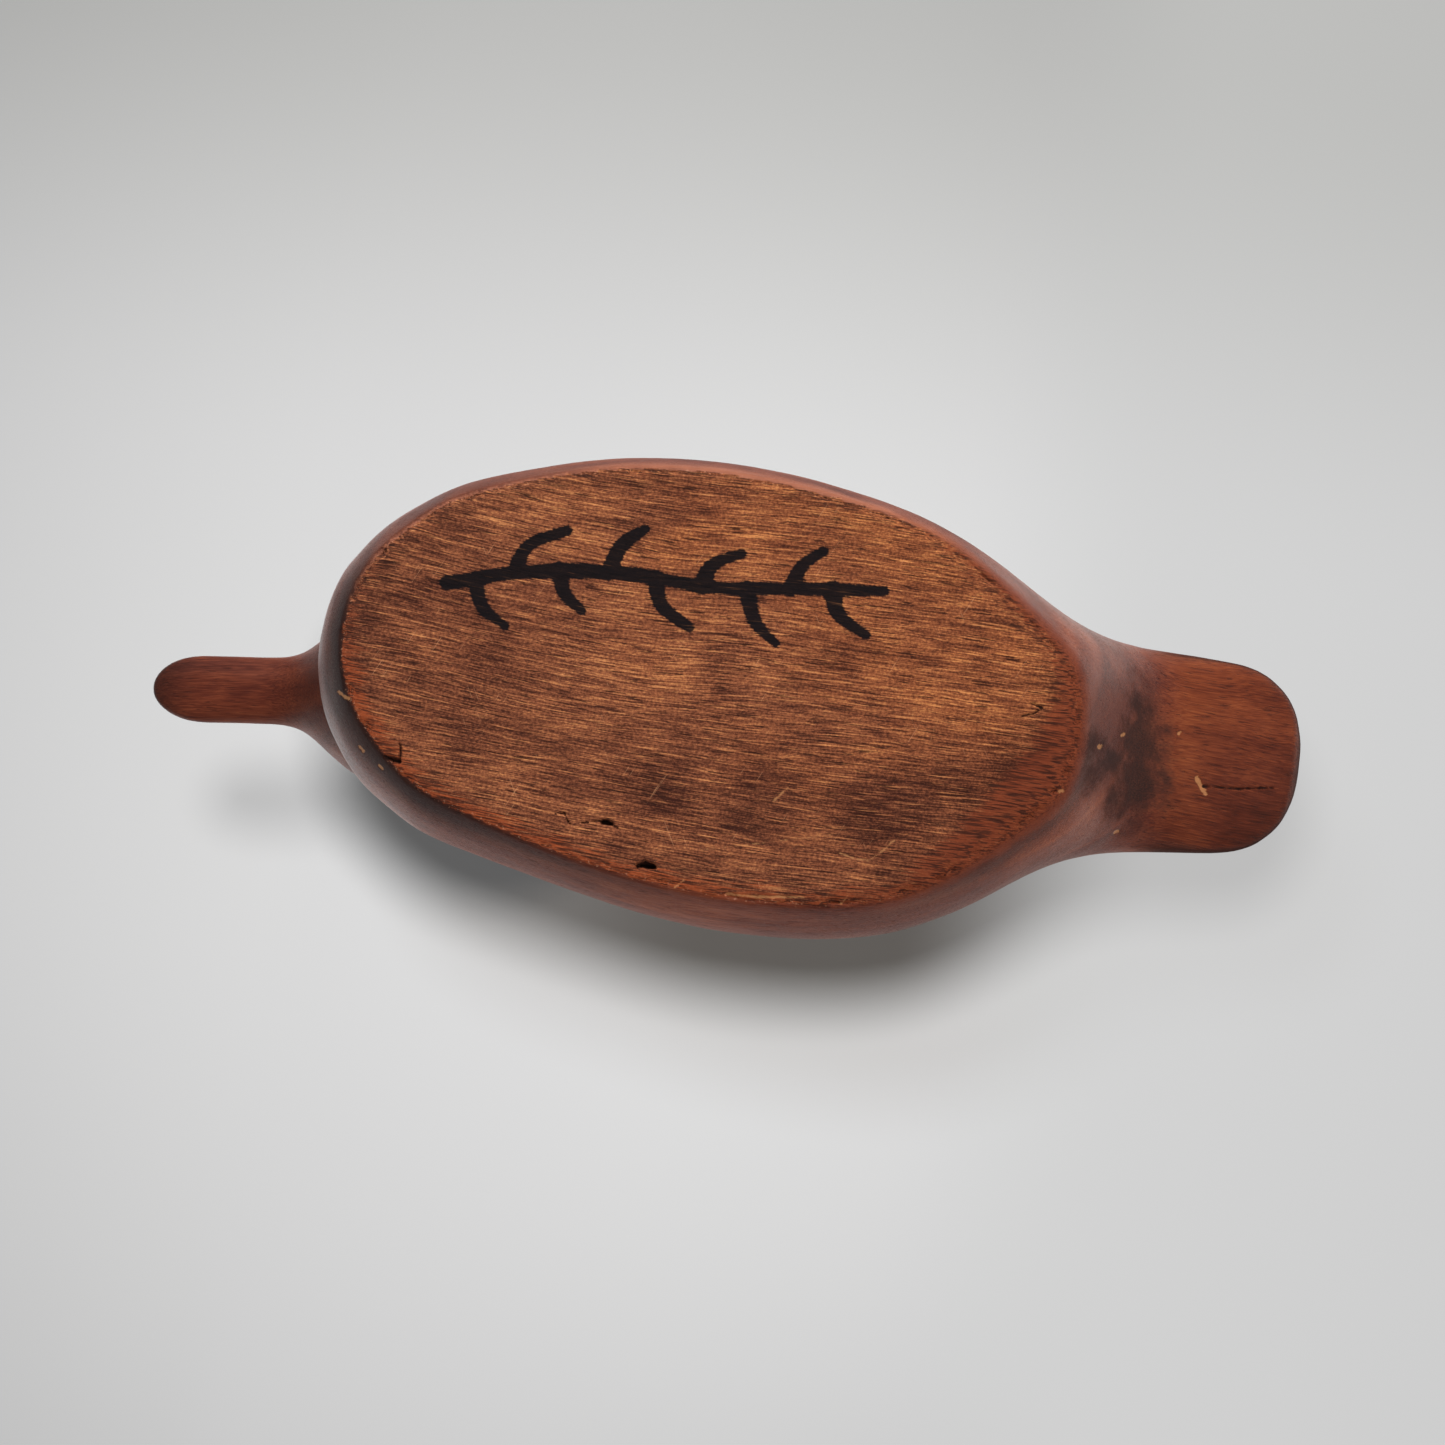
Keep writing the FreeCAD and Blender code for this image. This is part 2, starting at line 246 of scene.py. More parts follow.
def make_body():
    piece = fine_copy("body", "duck_body", BODY_CELL)
    marks = [line for line, _, _ in CRACKS] + [line for line, _ in SCUFFS]

    def near_marks(middles):
        close = np.min([distance_to(middles, line) for line in marks], axis=0)
        return (close < 1.1) & (middles[:, 2] < 30)

    refine(piece, near_marks, 2)
    places, normals = points_of(piece)
    x, y, z = places.T
    down = step(-normals[:, 2], 0.3, 0.7)
    overhung = step(-normals[:, 2], 0.0, 0.2)

    # Distance from the edge of the base, negative on the flat face
    on_flat = z < 0.02
    rim_points = places[(z > 0.3) & (z < 0.75) & (normals[:, 2] < -0.2)]
    flat_points = places[on_flat & (normals[:, 2] < -0.9)][::3]
    rim = np.full(len(places), 40.0)
    low = z < 12
    rim[low] = nearest(places[low], flat_points)
    rim[on_flat] = -nearest(places[on_flat], rim_points) + 0.5

    # Hand-carved unevenness, cut inwards only
    carve = 0.10 * (1 + lumps(places, (7, 16, 7), 1)) + 0.05 * (1 + lumps(places, (3, 6, 3), 2))
    carve *= step(rim, 0.5, 5)
    # The base's worn edge
    torn = np.clip(lumps(places, (1.6, 3.0, 1.6), 3) + 0.35 * lumps(places, (0.7, 1.2, 0.7), 4) - 0.05, 0, 1)
    carve += 0.9 * torn * np.exp(-((rim + 0.1) / 0.55) ** 2)
    # The edge is rounded over, most at the rear
    round_over = 1.3 + 1.9 * step(y, 10, 40)
    carve += 0.17 * round_over * np.clip(1 - np.abs(rim) / round_over, 0, 1) ** 2
    # The flat face isn't quite flat
    carve += 0.05 * (1 + lumps(places, (6, 14, 6), 5)) * step(-rim, 0.5, 2.5) * on_flat
    seat = (z > 38) & (y < -12)
    carve *= 1 - seat * step(-normals[:, 1] + normals[:, 2], 1.1, 1.25)

    crack = np.full(len(places), 9.0)
    for line, half_width, depth in CRACKS:
        ragged = (0.10 + 0.6 * half_width) * lumps(places, (0.7, 0.9, 0.7), 6)
        away = distance_to(places, line) + ragged + (1 - down) * 9
        crack = np.minimum(crack, away - half_width)
        carve += depth * (1 - step(away, half_width * 0.6, half_width * 1.5))
    scuff = np.full(len(places), 9.0)
    for line, half_width in SCUFFS:
        away = distance_to(places, line) + 0.12 * lumps(places, (0.6, 0.6, 0.6), 7) + (1 - overhung) * 9
        scuff = np.minimum(scuff, away - half_width)
        carve += 0.35 * half_width * (1 - step(away, half_width * 0.6, half_width * 1.6))
    patch = np.zeros(len(places))
    for px, py, pz, radius, strength in PATCHES:
        far = np.sqrt((x - px) ** 2 + ((y - py) * 0.7) ** 2 + ((z - pz) * 0.6) ** 2) / radius
        patch = np.maximum(patch, strength * np.exp(-far**2))
    ink = np.full(len(places), 9.0)
    ink[on_flat] = sprig_distance(places[on_flat])
    ink += 0.22 * lumps(places, (3.5, 3.5, 3.5), 8)

    for name, values in (("rim", rim), ("crack", crack), ("scuff", scuff), ("patch", patch), ("ink", ink)):
        keep_value(piece, name, values)
    move_points(piece, places - normals * carve[:, None])
    return piece


def make_head():
    piece = fine_copy("head", "duck_head", HEAD_CELL)
    places, normals = points_of(piece)
    x, y, z = places.T
    carve = 0.08 * (1 + lumps(places, (6, 11, 6), 11)) + 0.04 * (1 + lumps(places, (2.5, 4, 2.5), 12))
    carve *= 1 - step(-(normals[:, 2] - 0.35 * normals[:, 1]), 0.95, 1.03)
    move_points(piece, places - normals * carve[:, None])
    return piece


BEAD_SHARE = 0.998
BEAD_RINGS = 48
BEAD_ARCS = 24
DRILLED_RADIUS = 0.5 * MM


def make_eye(node, name):
    """A glass bead with a drilled inner end: a lathed dome whose axis is the eye's pin."""
    low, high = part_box(node)
    centre, radius = (low + high) / 2, (high.x - low.x) / 2
    dome = radius * BEAD_SHARE
    pin_low, pin_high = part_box(node.replace("eye_", "eye_pin_"))
    inward = ((pin_low + pin_high) / 2 - centre).normalized()
    outline = []
    for k in range(BEAD_ARCS + 1):
        angle = math.pi * k / BEAD_ARCS
        outline.append((dome * math.sin(angle), -dome * math.cos(angle)))
    outline = [(r, h) for r, h in outline if h < 0 or r > DRILLED_RADIUS]
    mouth = (DRILLED_RADIUS, outline[-1][1] + 0.02 * MM)
    outline += [mouth, (DRILLED_RADIUS, radius * 0.55), (0.0, radius * 0.5)]
    work = bmesh.new()
    columns = []
    for k in range(BEAD_RINGS):
        turn = 2 * math.pi * k / BEAD_RINGS
        columns.append([work.verts.new((r * math.cos(turn), r * math.sin(turn), h)) for r, h in outline])
    for a, b in zip(columns, columns[1:] + columns[:1]):
        for i in range(len(outline) - 1):
            work.faces.new((a[i], b[i], b[i + 1], a[i + 1]))
    bmesh.ops.remove_doubles(work, verts=work.verts, dist=1e-7)
    bmesh.ops.recalc_face_normals(work, faces=work.faces)
    mesh = bpy.data.meshes.new(name)
    work.to_mesh(mesh)
    work.free()
    mesh.transform(Matrix.Translation(centre) @ inward.to_track_quat("Z", "Y").to_matrix().to_4x4())
    mesh.polygons.foreach_set("use_smooth", [True] * len(mesh.polygons))
    piece = bpy.data.objects.new(name, mesh)
    bpy.context.scene.collection.objects.link(piece)
    return piece


# ---------------------------------------------------------------- materials

def tone(red, green, blue):
    """A colour from its 0 to 255 display values."""
    parts = [c / 255 for c in (red, green, blue)]
    return tuple(c / 12.92 if c <= 0.04045 else ((c + 0.055) / 1.055) ** 2.4 for c in parts) + (1.0,)


class Paint:
    """Builds one material; every argument is a number, a colour or another node's output."""

    def __init__(self, name):
        self.material = bpy.data.materials.new(name)
        self.material.use_nodes = True
        self.tree = self.material.node_tree
        self.tree.nodes.clear()

    def node(self, kind, inputs=(), out=0, **settings):
        made = self.tree.nodes.new("ShaderNode" + kind)
        for key, value in settings.items():
            setattr(made, key, value)
        for key, value in dict(inputs).items():
            if isinstance(value, bpy.types.NodeSocket):
                self.tree.links.new(value, made.inputs[key])
            else:
                made.inputs[key].default_value = value
        return made.outputs[out] if made.outputs else None

    def calc(self, what, a, b=0.0):
        return self.node("Math", {0: a, 1: b}, operation=what)

    def times(self, a, b):
        return self.calc("MULTIPLY", a, b)

    def plus(self, a, b):
        return self.calc("ADD", a, b)

    def swing(self, value, amount):
        """A value from 0 to 1, moved and scaled to run from -amount / 2 to amount / 2."""
        return self.times(self.plus(value, -0.5), amount)

    def ease(self, value, low, high, start=0.0, end=1.0):
        """start below low, end above high, eased between."""
        return self.node("MapRange", {0: value, 1: low, 2: high, 3: start, 4: end},
                         interpolation_type="SMOOTHSTEP")

    def blend(self, share, a, b, how="MIX"):
        made = self.tree.nodes.new("ShaderNodeMix")
        made.data_type, made.blend_type = "RGBA", how
        for key, value in ((0, share), (6, a), (7, b)):
            if isinstance(value, bpy.types.NodeSocket):
                self.tree.links.new(value, made.inputs[key])
            else:
                made.inputs[key].default_value = value
        return made.outputs[2]

    def ramp(self, value, stops):
        made = self.tree.nodes.new("ShaderNodeValToRGB")
        marks = made.color_ramp.elements
        marks[0].position, marks[0].color = stops[0]
        marks[1].position, marks[1].color = stops[-1]
        for place, colour in stops[1:-1]:
            marks.new(place).color = colour
        self.tree.links.new(value, made.inputs[0])
        return made.outputs[0]

    def place(self, turn_deg=0.0, shift=(0, 0, 0)):
        """Position on the object in millimetres."""
        spot = self.node("TexCoord", out="Object")
        return self.node("Mapping", {"Vector": spot, "Scale": (1000, 1000, 1000), "Location": shift,
                                     "Rotation": (0, 0, math.radians(turn_deg))})

    def noise(self, spot, per_mm, detail=2.0, rough=0.5, shift=(0, 0, 0)):
        """Noise from 0 to 1, with that many lumps in a millimetre along x, y and z."""
        made = self.node("Mapping", {"Vector": spot, "Scale": per_mm, "Location": shift})
        return self.node("TexNoise", {"Vector": made, "Scale": 1.0, "Detail": detail, "Roughness": rough})

    def value_of(self, name):
        return self.node("Attribute", out="Fac", attribute_name=name)

    def finish(self, **inputs):
        shader = self.node("BsdfPrincipled", {k.replace("_", " "): v for k, v in inputs.items()})
        self.node("OutputMaterial", {"Surface": shader})
        return self.material


PITH_X, PITH_Z = -31.0, 58.0


def grain(p, spot):
    """Wood figure along Y at each place: growth bands, fibres, pores and fine hairs, each from 0 to 1."""
    wander = p.noise(spot, (0.05, 0.02, 0.05), 2)
    # The fibres run a little askew, and sweep up with the tail
    along = p.node("SeparateXYZ", {0: spot}, out=1)
    lift = p.node("MapRange", {0: along, 1: 58.0, 2: 86.0, 3: 0.0, 4: -13.0})
    lean = p.ease(along, -52.0, 0.0, -3.2, 0.0)
    bend = p.node("CombineXYZ", {0: p.plus(p.ease(wander, 0.2, 0.8, -0.9, 0.9), lean), 2: lift})
    bent = p.node("VectorMath", {0: spot, 1: bend}, operation="ADD")
    x = p.node("SeparateXYZ", {0: bent})
    y, z = x.node.outputs[1], x.node.outputs[2]
    squares = [p.calc("POWER", p.plus(x, -PITH_X), 2.0), p.calc("POWER", p.plus(z, -PITH_Z), 2.0)]
    from_pith = p.calc("SQRT", p.plus(*squares))
    ring_spot = p.node("CombineXYZ", {0: p.times(from_pith, 0.34), 1: p.times(y, 0.006)})
    bands = p.node("TexNoise", {"Vector": ring_spot, "Scale": 1.0, "Detail": 3.0, "Roughness": 0.6})
    fibres = p.noise(bent, (4.8, 0.22, 4.8), 3, 0.65)
    pores = p.noise(bent, (5.2, 0.30, 5.2), 2, 0.55, (7, 3, 1))
    hairs = p.noise(bent, (6.4, 0.20, 6.4), 2, 0.6, (2, 9, 4))
    return bands, fibres, pores, hairs


class Wood:
    """The positions and noises that the parts of a wood material share."""

    def __init__(self, p, turn_deg, shift):
        self.spot = p.place(turn_deg, shift)
        self.x = p.node("SeparateXYZ", {0: self.spot})
        self.y = self.x.node.outputs[1]
        self.bands, self.fibres, self.pores, self.hairs = grain(p, self.spot)
        self.clouds = p.noise(self.spot, (0.09, 0.05, 0.09), 4, 0.6)
        self.mottle = p.noise(self.spot, (0.36, 0.16, 0.36), 4, 0.65, (5, 5, 5))
        self.grit = p.noise(self.spot, (3.8, 2.6, 3.8), 3, 0.7, (3, 1, 8))
        self.pore = p.ease(self.pores, 0.61, 0.67)
        facing = p.node("SeparateXYZ", {0: p.node("TexCoord", out="Normal")})
        self.facing_y, self.facing_z = facing.node.outputs[1], facing.node.outputs[2]


def satin_coat(p, w, strength, level_shift=None):
    """Reddish-brown stain under wax: its colour, roughness and height."""
    end_grain = p.ease(p.calc("ABSOLUTE", w.facing_y), 0.45, 0.95)
    level = p.plus(p.swing(w.bands, 0.55), p.swing(w.fibres, 0.6))
    level = p.plus(level, p.swing(w.clouds, 0.7))
    level = p.plus(level, p.swing(w.hairs, 0.5))
    level = p.plus(p.plus(level, strength), p.times(end_grain, p.ease(w.y, 20.0, 45.0, -0.17, -0.06)))
    if level_shift is not None:
        level = p.plus(level, level_shift)
    stained = p.ramp(level, [(0.08, tone(44, 16, 10)), (0.36, tone(84, 34, 21)), (0.6, tone(118, 56, 34)),
                             (0.92, tone(158, 88, 54))])
    gloss = p.plus(p.ease(w.grit, 0.25, 0.75, 0.34, 0.48), p.times(w.pore, 0.2))
    height = p.plus(p.swing(w.fibres, 0.05), p.times(w.pore, -0.015))
    height = p.plus(height, p.swing(w.hairs, 0.02))
    height = p.plus(height, p.swing(w.mottle, 0.05))
    return stained, gloss, height


def with_pores(p, w, stained):
    """The colour with the wood's dark pores drawn in."""
    return p.blend(p.times(w.pore, 0.6), stained, tone(42, 20, 16))


def head_wood():
    """The stained wood of the head, its grain turned and shifted away from the body's."""
    p = Paint("head_wood")
    w = Wood(p, 6.2, (40, 90, 20))
    stained, gloss, height = satin_coat(p, w, 0.49)
    stained = with_pores(p, w, stained)
    # The bill's tip is darker, and painted shade darkens the downward-facing underside where the head meets
    # the breast
    along = p.node("SeparateXYZ", {0: p.place()}, out=1)
    throat_shade = p.times(p.ease(along, -68.0, -57.0, 0.0, 0.55), p.ease(w.facing_z, -0.6, -0.2, 1.0, 0.0))
    dark = p.calc("MAXIMUM", p.ease(along, -84.0, -76.0, 0.6, 0.0), throat_shade)
    stained = p.blend(dark, stained, tone(40, 20, 15))
    bump = p.node("Bump", {"Strength": 1.0, "Distance": MM, "Height": height})
    return p.finish(Base_Color=stained, Roughness=p.plus(gloss, 0.06), Normal=bump, IOR=1.45,
                    Specular_IOR_Level=0.2)


def marked_coat(p, w, stained, rim, patch):
    """The body's stain with its smudge, grime, rubbed edges and painted shade and light, and the masks of
    its grime and shade, its soot and its painted dark tail edge.
    """
    x, y, fibres, mottle = w.x, w.y, w.fibres, w.mottle
    soot = p.plus(patch, p.plus(p.swing(mottle, 1.1), p.swing(fibres, 0.9)))
    sooty = p.times(p.ease(soot, 0.3, 0.9), p.ease(patch, 0.02, 0.2, 0.0, 0.9))
    stained = p.blend(p.times(sooty, p.ease(fibres, 0.3, 0.7, 1.0, 0.8)), stained, tone(36, 29, 28))
    # Darker just above the base's edge, most at the front and on the -X side: partly grime and thick stain,
    # partly painted shade on the flank that faces away from the lamps
    in_front = p.times(p.ease(y, -40.0, 20.0, 0.9, 0.0), p.ease(x, 4.0, 16.0, 1.0, 0.35))
    dirt_and_shade = p.times(p.ease(rim, 1.0, 10.0, 1.0, 0.0), in_front)
    stained = p.blend(dirt_and_shade, stained, tone(26, 14, 12))
    # Painted shade: the -X flank is darker towards the rear
    shade = p.times(p.ease(x, -22.0, -12.0, 0.2, 0.0), p.ease(y, 5.0, 25.0))
    stained = p.blend(shade, stained, tone(40, 22, 18))

    # At the rear the red of the edge runs on over the rounding and ends in a dark band
    rear = p.ease(y, 12.0, 42.0)
    drift = p.plus(rim, p.plus(p.swing(mottle, 4.0), p.swing(fibres, 5.0)))
    red = p.blend(fibres, tone(76, 30, 18), tone(140, 68, 42))
    stained = p.blend(p.times(rear, p.ease(drift, 0.6, 3.2, 0.8, 0.0)), stained, red)
    band = p.times(p.ease(drift, 1.6, 3.4), p.ease(drift, 3.6, 7.0, 0.55, 0.0))
    band = p.times(rear, p.times(band, p.ease(x, -3.0, 3.0, 1.0, 0.1)))
    stained = p.blend(band, stained, tone(54, 28, 20))
    # Painted shade: a thin dark edge round the tail, standing in for the dark surroundings it would reflect
    edge_on = p.times(p.ease(w.facing_z, -0.8, -0.45), p.ease(w.facing_z, 0.1, 0.5, 1.0, 0.0))
    tail_edge_shade = p.times(p.ease(y, 58.0, 66.0, 0.0, 0.8), edge_on)
    stained = p.blend(tail_edge_shade, stained, tone(40, 17, 12))
    # Paler edge along the +X side of the base: a thin rubbed line at the rim, and a wider strip of painted
    # light on the flank that faces the key lamp
    lit_strip = p.times(p.ease(y, -30.0, -5.0, 0.15, 1.0), p.ease(drift, 0.6, 3.6, 0.7, 0.0))
    thin = p.ease(p.plus(rim, p.swing(w.grit, 1.6)), 0.2, 0.9, 0.75, 0.0)
    worn_and_lit_edge = p.times(p.calc("MAXIMUM", lit_strip, thin), p.ease(x, 2.0, 14.0))
    worn_and_lit_edge = p.times(worn_and_lit_edge, p.ease(y, 22.0, 40.0, 1.0, 0.0))
    stained = p.blend(worn_and_lit_edge, stained, p.blend(fibres, tone(136, 72, 48), tone(190, 122, 92)))
    return stained, dirt_and_shade, sooty, tail_edge_shade


def bare_base(p, w, rim, patch, ink):
    """The base's bare, scratched wood, with the stain that crept in over its edge and the felt-tip sprig."""
    x, y, fibres, hairs, clouds, mottle, grit = w.x, w.y, w.fibres, w.hairs, w.clouds, w.mottle, w.grit
    lighter = p.plus(p.times(x, 0.0024), p.times(y, 0.0015))
    lighter = p.plus(lighter, p.times(p.ease(x, -16.0, -4.0, 0.06, 0.0), p.ease(y, -20.0, 5.0, 1.0, 0.0)))
    level = p.plus(p.swing(w.bands, 0.35), p.swing(fibres, 1.0))
    level = p.plus(level, p.swing(clouds, 0.45))
    level = p.plus(level, p.swing(mottle, 0.5))
    level = p.plus(level, p.swing(hairs, 1.3))
    level = p.plus(level, p.swing(grit, 1.3))
    level = p.plus(p.plus(level, 0.44), p.plus(lighter, p.times(patch, -0.5)))
    bare = p.ramp(level, [(0.0, tone(56, 26, 17)), (0.30, tone(102, 56, 37)), (0.58, tone(144, 84, 54)),
                          (0.98, tone(208, 140, 87))])
    warm = p.plus(p.plus(p.times(x, 0.016), p.times(y, 0.014)), p.swing(clouds, 1.5))
    yellowed = p.blend(1.0, bare, tone(255, 236, 200), "MULTIPLY")
    bare = p.blend(p.ease(warm, -0.2, 0.7, 0.0, 0.5), bare, yellowed)
    bare = p.blend(p.ease(hairs, 0.60, 0.72, 0.0, 0.45), bare, tone(208, 138, 84))
    bare = p.blend(p.times(w.pore, 0.85), bare, tone(46, 21, 13))
    dashes = p.ease(p.noise(w.spot, (4.6, 0.13, 4.6), 1, 0.5, (11, 2, 5)), 0.68, 0.73)
    bare = p.blend(p.times(dashes, 0.7), bare, tone(44, 20, 13))
    # Faint sanding scratches across the grain, in two directions
    for turn, low, high in ((64, 0.70, 0.76), (118, 0.73, 0.79)):
        across = p.noise(p.place(turn), (6.0, 0.09, 6.0), 1, 0.5, (turn, 0, 0))
        across = p.times(p.ease(across, low, high), p.ease(mottle, 0.48, 0.62))
        bare = p.blend(p.times(across, 0.45), bare, tone(200, 144, 104))
    # Red-brown stain that crept in over the rim, widest at the rear, with darker pores
    width = p.times(p.ease(y, 24.0, 45.0), p.ease(x, -8.0, 12.0, 6.5, 0.6))
    width = p.plus(width, p.ease(x, -20.0, 5.0, 1.4, 0.4))
    width = p.plus(width, p.ease(y, -44.0, -30.0, 0.8, 0.0))
    creep = p.plus(p.plus(rim, width), p.plus(p.swing(fibres, 9.0), p.swing(mottle, 4.0)))
    front_red = p.blend(fibres, tone(78, 30, 14), tone(182, 84, 42))
    rear_red = p.blend(fibres, tone(60, 23, 13), tone(147, 69, 39))
    reach = p.calc("MAXIMUM", p.ease(y, 14.0, 34.0), p.ease(x, -6.0, 8.0, 0.9, 0.15))
    crept = p.times(p.ease(creep, -0.8, 1.2), p.times(reach, 0.88))
    bare = p.blend(crept, bare, p.blend(p.ease(y, 0.0, 35.0), front_red, rear_red))
    rim_pore = p.times(p.ease(w.pores, 0.48, 0.58), p.ease(creep, -2.5, 0.5))
    bare = p.blend(p.times(rim_pore, 0.75), bare, tone(46, 24, 18))
    # Felt-tip ink, soaked a little along the fibres
    wet = p.plus(ink, p.plus(p.swing(hairs, 0.5), p.swing(grit, 0.35)))
    inked = p.times(p.ease(wet, -0.12, 0.12, 1.0, 0.0), p.ease(hairs, 0.64, 0.76, 0.98, 0.80))
    return p.blend(inked, bare, tone(14, 12, 15))


def body_wood():
    """The stained wood of the body, and the bare wood of its base."""
    p = Paint("body_wood")
    w = Wood(p, 0.0, (0, 0, 0))
    rim, crack, scuff = p.value_of("rim"), p.value_of("crack"), p.value_of("scuff")
    patch, ink = p.value_of("patch"), p.value_of("ink")
    # The tail is warmer, and darker towards its end; painted shade makes it darker towards the -X side and
    # lighter towards +X
    on_tail = p.ease(w.y, 60.0, 66.0)
    tail_tone_and_shade = p.plus(p.ease(w.y, 68.0, 84.0, 0.03, -0.15), p.ease(w.x, -12.0, 14.0, -0.15, 0.06))
    stained, gloss, height = satin_coat(p, w, 0.5, p.times(on_tail, tail_tone_and_shade))
    stained = p.blend(on_tail, stained, p.blend(1.0, stained, tone(255, 250, 222), "MULTIPLY"))
    stained = with_pores(p, w, stained)
    stained, dirt_and_shade, sooty, tail_edge_shade = marked_coat(p, w, stained, rim, patch)
    bare = bare_base(p, w, rim, patch, ink)

    edge = p.plus(rim, p.plus(p.swing(w.grit, 0.9), p.swing(w.fibres, 0.9)))
    on_base = p.ease(edge, -0.05, p.ease(w.y, 10.0, 40.0, 0.5, 2.2), 1.0, 0.0)
    colour = p.blend(on_base, stained, bare)
    # Pale torn fibres along the edge, scuffs, and dark cracks
    at_edge = p.times(p.ease(rim, -0.9, -0.1), p.ease(rim, 0.2, 0.9, 1.0, 0.0))
    lint = p.times(p.ease(w.grit, 0.58, 0.68), at_edge)
    lint = p.times(lint, p.ease(p.ease(w.y, 12.0, 42.0), 0.1, 0.8, 1.0, 0.15))
    colour = p.blend(p.times(lint, 0.55), colour, tone(196, 140, 108))
    scuffed = p.ease(p.plus(scuff, p.swing(w.grit, 0.5)), -0.12, 0.06, 0.55, 0.0)
    colour = p.blend(scuffed, colour, tone(198, 138, 88))
    cracked = p.ease(p.plus(crack, p.swing(w.grit, 0.3)), -0.12, 0.1, 0.92, 0.0)
    colour = p.blend(cracked, colour, tone(26, 15, 13))

    dull = p.plus(p.times(dirt_and_shade, 0.3), p.plus(p.times(sooty, 0.4), p.times(tail_edge_shade, 0.5)))
    gloss = p.node("MapRange", {0: on_base, 1: 0.0, 2: 1.0, 3: p.plus(gloss, dull), 4: 0.86})
    fine = p.noise(w.spot, (9.0, 0.3, 9.0), 2, 0.6, (1, 1, 6))
    height = p.plus(height, p.times(on_base, p.swing(fine, 0.08)))
    height = p.plus(height, p.times(on_base, p.times(w.pore, -0.06)))
    bump = p.node("Bump", {"Strength": 1.0, "Distance": MM, "Height": height})
    return p.finish(Base_Color=colour, Roughness=gloss, Normal=bump, IOR=1.45, Specular_IOR_Level=0.26)


def eye_glass():
    p = Paint("eye_glass")
    spot = p.place()
    haze = p.noise(spot, (0.9, 0.9, 0.9), 3)
    marks = p.noise(spot, (6.0, 6.0, 1.2), 2)
    colour = p.ramp(haze, [(0.3, tone(10, 8, 8)), (0.7, tone(26, 19, 17))])
    rough = p.ease(marks, 0.3, 0.8, 0.05, 0.16)
    bump = p.node("Bump", {"Strength": 0.4, "Distance": MM, "Height": p.times(marks, 0.01)})
    return p.finish(Base_Color=colour, Roughness=rough, Normal=bump, Coat_Weight=0.6, IOR=1.52)


def dowel_wood():
    p = Paint("dowel_wood")
    spot = p.place()
    fibres = p.noise(spot, (2.2, 2.2, 0.09), 3, 0.6)
    flecks = p.ease(p.noise(spot, (5.0, 5.0, 0.7), 1.5), 0.58, 0.66)
    colour = p.ramp(fibres, [(0.25, tone(176, 138, 98)), (0.75, tone(214, 180, 138))])
    colour = p.blend(p.times(flecks, 0.5), colour, tone(140, 100, 68))
    height = p.plus(p.times(fibres, 0.06), p.times(flecks, -0.04))
    bump = p.node("Bump", {"Strength": 1.0, "Distance": MM, "Height": height})
    return p.finish(Base_Color=colour, Roughness=p.ease(fibres, 0.2, 0.8, 0.5, 0.68), Normal=bump)


def pin_steel():
    p = Paint("pin_steel")
    spot = p.place()
    drawn = p.noise(spot, (0.8, 9.0, 9.0), 2)
    rust = p.ease(p.noise(spot, (1.1, 1.1, 1.1), 3), 0.55, 0.7)
    bright = p.ramp(drawn, [(0.3, tone(150, 148, 145)), (0.7, tone(186, 184, 181))])
    colour = p.blend(p.times(rust, 0.4), bright, tone(110, 74, 52))
    bump = p.node("Bump", {"Strength": 1.0, "Distance": MM, "Height": p.times(drawn, 0.01)})
    rough = p.ease(drawn, 0.2, 0.8, 0.25, 0.45)
    return p.finish(Base_Color=colour, Metallic=1.0, Roughness=rough, Normal=bump)


def one_sided(name, shade, far_shade, glow=0.0):
    """A matt stage surface, far_shade towards +X, that only shows from the side its normal points to.

    A glow above 0 lets it shine by itself beside the breast and the tail, where it takes less of a shadow.
    """
    p = Paint(name)
    x = p.node("SeparateXYZ", {0: p.place()})
    colour = p.blend(p.ease(x, 60.0, 190.0), tone(*shade), tone(*far_shade))
    face = p.node("BsdfDiffuse", {"Color": colour})
    if glow > 0:
        shine = p.node("Emission", {"Color": colour, "Strength": glow})
        y = x.node.outputs[1]
        left = p.times(p.ease(y, -105.0, -85.0, 0.0, 0.12), p.ease(y, -45.0, 5.0, 1.0, 0.0))
        face = p.node("MixShader", {0: p.plus(left, p.ease(y, 45.0, 105.0, 0.0, 0.75)), 1: face, 2: shine})
    clear = p.node("BsdfTransparent")
    back = p.node("NewGeometry", out="Backfacing")
    both = p.node("MixShader", {0: back, 1: face, 2: clear})
    p.node("OutputMaterial", {"Surface": both})
    return p.material


# ---------------------------------------------------------------- the duck

def paint_cad(node, material):
    """Gives a carried-over CAD node its material."""
    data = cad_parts[node]
    for slot in data.material_slots:
        slot.material = material
    if not data.material_slots:
        data.data.materials.append(material)


def dress(piece, material, node):
    """Gives a piece its material, hangs it from the root body and hides the CAD node it replaces."""
    piece.data.materials.clear()
    piece.data.materials.append(material)
    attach(piece, "root")
    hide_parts(node)


body, head = make_body(), make_head()
dress(body, body_wood(), "body")
dress(head, head_wood(), "head")
glass = eye_glass()
dress(make_eye("eye_left", "glass_eye_left"), glass, "eye_left")
dress(make_eye("eye_right", "glass_eye_right"), glass, "eye_right")
paint_cad("neck_dowel", dowel_wood())
steel = pin_steel()
paint_cad("eye_pin_left", steel)
paint_cad("eye_pin_right", steel)


# ---------------------------------------------------------------- stage, lights and camera

